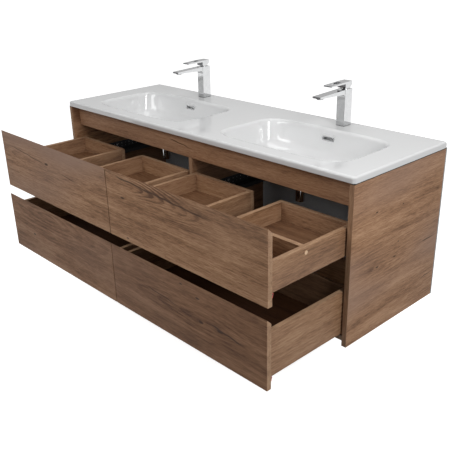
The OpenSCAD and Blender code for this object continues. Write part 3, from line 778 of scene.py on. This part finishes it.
def overflow_tools(centre):
    """The block behind a basin's rear wall, its hollow, and the slot that leads into it."""
    rear = centre.y + BASIN_L / 2
    block = (CHANNEL[0], CHANNEL[1], CHANNEL[2] + 2 * MM)
    block_place = (centre.x, rear - CHANNEL_LAP + CHANNEL[1] / 2, under_z - CHANNEL[2] / 2 + 1 * MM)
    slot_z = top_z - OVERFLOW_DEPTH
    slot_y = rear - OVERFLOW_INSET
    hollow = (SLOT[0], HOLLOW_L, CHANNEL[2] - 6 * MM)
    hollow_y = rear + CHANNEL[1] - CHANNEL_LAP - CHANNEL_SKIN
    hollow_place = (centre.x, hollow_y, slot_z + 5 * MM - hollow[2] / 2)
    return [
        (box_mesh(block, block_place), "UNION"),
        (box_mesh(hollow, hollow_place), "DIFFERENCE"),
        (box_mesh((SLOT[0], SLOT_REACH, SLOT[1]), (centre.x, slot_y + SLOT_REACH / 2 - SLOT_LAP, slot_z),
                  -WALL_TILT), "DIFFERENCE"),
    ]


def fine_top():
    """The one-piece top with soft edges, two basins, tap holes and overflow slots."""
    bm = bmesh.new()
    rows = []
    for i in range(EASE_STEPS + 1):
        angle = pi / 2 * i / EASE_STEPS
        rows.append((TOP_EASE * (1 - sin(angle)), top_z - TOP_EASE * (1 - cos(angle))))
    for i in range(LOW_EASE_STEPS + 1):
        angle = pi / 2 * i / LOW_EASE_STEPS
        rows.append((TOP_EASE_LOW * (1 - cos(angle)), under_z + TOP_EASE_LOW * (1 - sin(angle))))
    edge_loops = [loop_of(bm, plan_outline(inset, z)) for inset, z in rows]
    for upper, lower in zip(edge_loops, edge_loops[1:]):
        skin(bm, lower, upper)
    upper_holes = [edge_loops[0]]
    lower_holes = [edge_loops[-1]]
    for centre in basin_at.values():
        rim, under_rim = basin_shell(bm, centre)
        hole_top = loop_of(bm, circle(centre.x, tap_y, TAP_HOLE, top_z, ROUND_POINTS))
        hole_low = loop_of(bm, circle(centre.x, tap_y, TAP_HOLE, under_z, ROUND_POINTS))
        skin(bm, hole_low, hole_top)
        upper_holes += [rim, hole_top]
        lower_holes += [under_rim, hole_low]
    fill(bm, upper_holes)
    fill(bm, lower_holes)
    bm = carve(bm, [tool for centre in basin_at.values() for tool in overflow_tools(centre)])
    return finish_piece("fine_basin_top", bm, "cabinet", [GLAZE], ["basin_top"])


fine_top()


# ---------- dark bead standing in for the shadow line under the top ---

def shadow_line_bead():
    """Dark bead along the upper edges of the side panels and the front rail, put where the top casts its
    thin shadow line.
    """
    panel_low, panel_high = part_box("side_panel_right")
    rail_low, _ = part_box("top_front_rail")
    face_x = panel_high.x + BEAD_OUT
    strips = [((-face_x, panel_low.y - BEAD_OUT), (-panel_low.x, panel_high.y)),
              ((panel_low.x, panel_low.y - BEAD_OUT), (face_x, panel_high.y)),
              ((-panel_low.x, rail_low.y - BEAD_OUT), (panel_low.x, rail_low.y + BEAD_T))]
    bm = bmesh.new()
    for (x_low, y_low), (x_high, y_high) in strips:
        made = bmesh.ops.create_cube(bm, size=1.0)["verts"]
        bmesh.ops.scale(bm, vec=(x_high - x_low, y_high - y_low, BEAD_T), verts=made)
        bmesh.ops.translate(bm, vec=((x_low + x_high) / 2, (y_low + y_high) / 2, under_z - BEAD_T / 2),
                            verts=made)
    ease_edges(bm, BEAD_EASE)
    return finish_piece("top_shadow_line", bm, "cabinet", [RUBBER])


shadow_line_bead()


# ---------- overflows ----------

fine_copy("overflow_trims", [CHROME], TRIM_EASE)


# ---------- taps ----------

def fine_tap_body(side):
    """Square column and flat spout with eased edges."""
    centre = basin_at[side].x
    column_top = top_z + COLUMN_H
    foot = top_z + GASKET_T
    rear = tap_y + COLUMN_L / 2
    front = tap_y - COLUMN_L / 2
    tip = front - SPOUT_REACH
    tip_top = column_top - SPOUT_TIP_DROP
    under = column_top - SPOUT_ROOT_T
    bm = bmesh.new()
    prism(bm, [(front, foot), (rear, foot), (rear, column_top), (front, column_top)],
          centre - COLUMN_W / 2, centre + COLUMN_W / 2)
    fillet = arc((front - ROOT_FILLET, under - ROOT_FILLET), ROOT_FILLET, 0, 84, 10)
    inside = front + ROOT_OVERLAP
    spout = [(inside, under - ROOT_FILLET)] + fillet + [
        (tip, tip_top - SPOUT_TIP_T), (tip, tip_top), (front, column_top - 0.4 * MM),
        (inside, column_top - 0.4 * MM)]
    prism(bm, spout, centre - SPOUT_W / 2, centre + SPOUT_W / 2)
    ease_edges(bm, METAL_EASE, 3)
    boss_y = tip + AERATOR_BACK
    boss_low = tip_top - BOSS_DROP
    rings = [(AERATOR_BORE, boss_low + BOSS_H), (AERATOR_BORE, boss_low),
             (AERATOR_BOSS - BOSS_EASE, boss_low), (AERATOR_BOSS, boss_low + BOSS_EASE),
             (AERATOR_BOSS, boss_low + BOSS_H)]
    boss = [loop_of(bm, circle(centre, boss_y, radius, z, ROUND_POINTS)) for radius, z in rings]
    for lower, upper in zip(boss, boss[1:] + boss[:1]):
        skin(bm, lower, upper)
    stud_y = tap_y - STUD_BACK
    low = loop_of(bm, circle(centre, stud_y, STUD_R, under_z - STUD_DROP, STUD_POINTS))
    high = loop_of(bm, circle(centre, stud_y, STUD_R, foot + 1 * MM, STUD_POINTS))
    skin(bm, low, high)
    bm.faces.new(list(reversed(low)))
    bm.faces.new(high)
    node = "tap_body_" + side
    return finish_piece("fine_" + node, bm, body_of(node), [CHROME], [node])


def fine_tap_handle(side):
    """Lever block with a window in its plate: a grid of stations with the window's cell left open."""
    node = "tap_handle_" + side
    low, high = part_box(node)
    centre = (low.x + high.x) / 2
    front = tap_y - COLUMN_L / 2
    root_under = high.z - LEVER_ROOT_T
    tip_top = high.z - LEVER_TIP_DROP
    tip_under = tip_top - LEVER_T
    window_y = (low.y + WINDOW_FRONT, low.y + WINDOW_FRONT + WINDOW_L)

    def plate(y):
        share = (y - low.y) / (front - low.y)
        return (tip_under + (root_under - tip_under) * share, tip_top + (high.z - tip_top) * share)

    stations = [(y, *plate(y)) for y in (low.y, *window_y, front)]
    stations += [(front, low.z, high.z), (tap_y + 6 * MM, low.z, high.z),
                 (high.y, low.z + 9.5 * MM, high.z)]
    columns = [low.x, centre - WINDOW_W / 2, centre + WINDOW_W / 2, high.x]
    bm = bmesh.new()
    under = [[bm.verts.new((x, y, z)) for x in columns] for y, z, _ in stations]
    over = [[bm.verts.new((x, y, z)) for x in columns] for y, _, z in stations]
    hole = (1, 1)
    for j in range(len(stations) - 1):
        for i in range(3):
            if (j, i) == hole:
                continue
            bm.faces.new((under[j][i], under[j + 1][i], under[j + 1][i + 1], under[j][i + 1]))
            bm.faces.new((over[j][i], over[j][i + 1], over[j + 1][i + 1], over[j + 1][i]))
        for i in (0, 3):
            bm.faces.new((under[j][i], over[j][i], over[j + 1][i], under[j + 1][i]))
    for j in (0, len(stations) - 1):
        for i in range(3):
            bm.faces.new((under[j][i], under[j][i + 1], over[j][i + 1], over[j][i]))
    for i in (1, 2):
        bm.faces.new((under[1][i], over[1][i], over[2][i], under[2][i]))
    for j in (1, 2):
        bm.faces.new((under[j][1], under[j][2], over[j][2], over[j][1]))
    bmesh.ops.remove_doubles(bm, verts=bm.verts, dist=WELD)
    bmesh.ops.recalc_face_normals(bm, faces=bm.faces)
    bmesh.ops.dissolve_limit(bm, angle_limit=FLAT, verts=bm.verts, edges=bm.edges)
    ease_edges(bm, METAL_EASE, 3)
    return finish_piece("fine_" + node, bm, body_of(node), [CHROME], [node])


for side in SIDES:
    fine_tap_body(side)
    fine_tap_handle(side)


# ---------- slides ----------

RIVET_ROWS = (38 * MM, 25 * MM)
RIVETS_PER_ROW = 14
RIVET_START = 40 * MM
RIVET_PITCH = 20 * MM
FLANGE_T = 1.5 * MM

def rivet_rows():
    """Two rows of bright punched rivets on every fixed slide flange."""
    for level in LEVELS:
        node = "cabinet_rails_" + level
        low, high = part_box(node)
        bm = bmesh.new()
        flange_faces = []
        for side, s in SIDES.items():
            outer = high.x if s > 0 else low.x
            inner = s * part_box("centre_partition")[1].x
            flange_faces.append((outer, -s))
            flange_faces.append((inner, s))
        for face_x, direction in flange_faces:
            for row_z in RIVET_ROWS:
                for i in range(RIVETS_PER_ROW):
                    y = low.y + RIVET_START + RIVET_PITCH * i
                    rivet(bm, face_x + direction * FLANGE_T, y, low.z + row_z, direction)
        finish_piece("slide_rivets_" + level, bm, "cabinet", [ZINC])


def rivet(bm, x, y, z, direction, radius=2.0 * MM, height=0.5 * MM, count=12):
    rings = []
    for share, rise in ((1.0, 0.0), (0.85, 0.6), (0.45, 1.0)):
        rings.append(loop_of(bm, [
            (x + direction * height * rise, y + radius * share * cos(2 * pi * i / count),
             z + radius * share * sin(2 * pi * i / count)) for i in range(count)]))
    for lower, upper in zip(rings, rings[1:]):
        skin(bm, lower, upper)
    bm.faces.new(rings[0])
    bm.faces.new(list(reversed(rings[-1])))


rivet_rows()


# ---------- CAD nodes that stay ----------

for node, cad in frame["nodes"].items():
    if cad.hide_render:
        continue
    cad.data.materials.clear()
    cad.data.materials.append(CAD_MATERIAL[SLOT_OF[node]])

# ---------- studio ----------

FLOOR_Z = top_z - 0.86          # the height of the top above the floor
FLOOR_HALF = 30.0
FLOOR_GLOW = 0.8


def floor():
    """A pale floor at the height under which such a cabinet hangs."""
    bm = bmesh.new()
    bmesh.ops.create_grid(bm, x_segments=1, y_segments=1, size=FLOOR_HALF)
    mesh = bpy.data.meshes.new("floor")
    bm.to_mesh(mesh)
    bm.free()
    plane = bpy.data.objects.new("floor", mesh)
    plane.location = (0, 0, FLOOR_Z)
    bpy.context.scene.collection.objects.link(plane)
    s = Shading("pale_floor")
    s.set(colour=(0.90, 0.90, 0.90), roughness=0.8, specular=0.1)
    s.shader.inputs["Emission Color"].default_value = (1, 1, 1, 1)
    s.shader.inputs["Emission Strength"].default_value = FLOOR_GLOW
    mesh.materials.append(s.material)
    plane.visible_diffuse = False


def softbox(name, location, target, size, power):
    lamp = bpy.data.lights.new(name, "AREA")
    lamp.shape = "RECTANGLE"
    lamp.size, lamp.size_y = size
    lamp.energy = power
    holder = bpy.data.objects.new(name, lamp)
    holder.location = location
    holder.rotation_euler = (Vector(target) - Vector(location)).to_track_quat("-Z", "Y").to_euler()
    bpy.context.scene.collection.objects.link(holder)


def sky(low, high, back):
    """White light that is weaker from below than from above, with a bright wall behind."""
    world = bpy.data.worlds.new("studio")
    world.use_nodes = True
    tree = world.node_tree
    direction = tree.nodes.new("ShaderNodeTexCoord").outputs["Generated"]
    parts = tree.nodes.new("ShaderNodeSeparateXYZ")
    tree.links.new(direction, parts.inputs[0])
    total = tree.nodes.new("ShaderNodeMath")
    total.operation = "ADD"
    ranges = (("Z", -0.3, 0.5, low, high), ("Y", 0.1, 0.6, 0.0, back))
    for slot, (axis, *values) in zip(total.inputs, ranges):
        rise = tree.nodes.new("ShaderNodeMapRange")
        rise.interpolation_type = "SMOOTHSTEP"
        for socket, value in zip(rise.inputs[1:5], values):
            socket.default_value = value
        tree.links.new(parts.outputs[axis], rise.inputs[0])
        tree.links.new(rise.outputs[0], slot)
    tree.links.new(total.outputs[0], tree.nodes["Background"].inputs["Strength"])
    tree.nodes["Background"].inputs["Color"].default_value = (1, 1, 1, 1)
    bpy.context.scene.world = world


CAMERA_PLACE = (1.7800, -1.9382, 0.6612)
CAMERA_YAW = 47.324
CAMERA_PITCH = -23.632
CAMERA_ROLL = -1.503
CAMERA_LENS = 53.16
SENSOR_WIDTH = 36.0
CAMERA_SHIFT = (0.0001, 0.0222)


def camera():
    data = bpy.data.cameras.new("camera")
    data.lens = CAMERA_LENS
    data.sensor_width = SENSOR_WIDTH
    data.shift_x, data.shift_y = CAMERA_SHIFT
    data.clip_end = 100.0
    data.dof.use_dof = False
    holder = bpy.data.objects.new("camera", data)
    turn = (Matrix.Rotation(radians(CAMERA_YAW), 4, "Z")
            @ Matrix.Rotation(radians(90 + CAMERA_PITCH), 4, "X")
            @ Matrix.Rotation(radians(CAMERA_ROLL), 4, "Z"))
    holder.matrix_world = Matrix.Translation(CAMERA_PLACE) @ turn
    bpy.context.scene.collection.objects.link(holder)
    bpy.context.scene.camera = holder


floor()
sky(0.09, 0.30, 0.32)
softbox("key", (2.1, -0.8, 1.1), (0.7, -0.3, 0.4), (0.45, 1.2), 24)
softbox("front", (-0.2, -2.4, 1.2), (0, -0.6, 0.0), (1.6, 0.8), 20)
softbox("overhead", (0.0, -0.1, 1.8), (0.0, -0.1, 0), (1.8, 0.6), 8.5)
camera()
bpy.context.scene.view_settings.view_transform = "Standard"
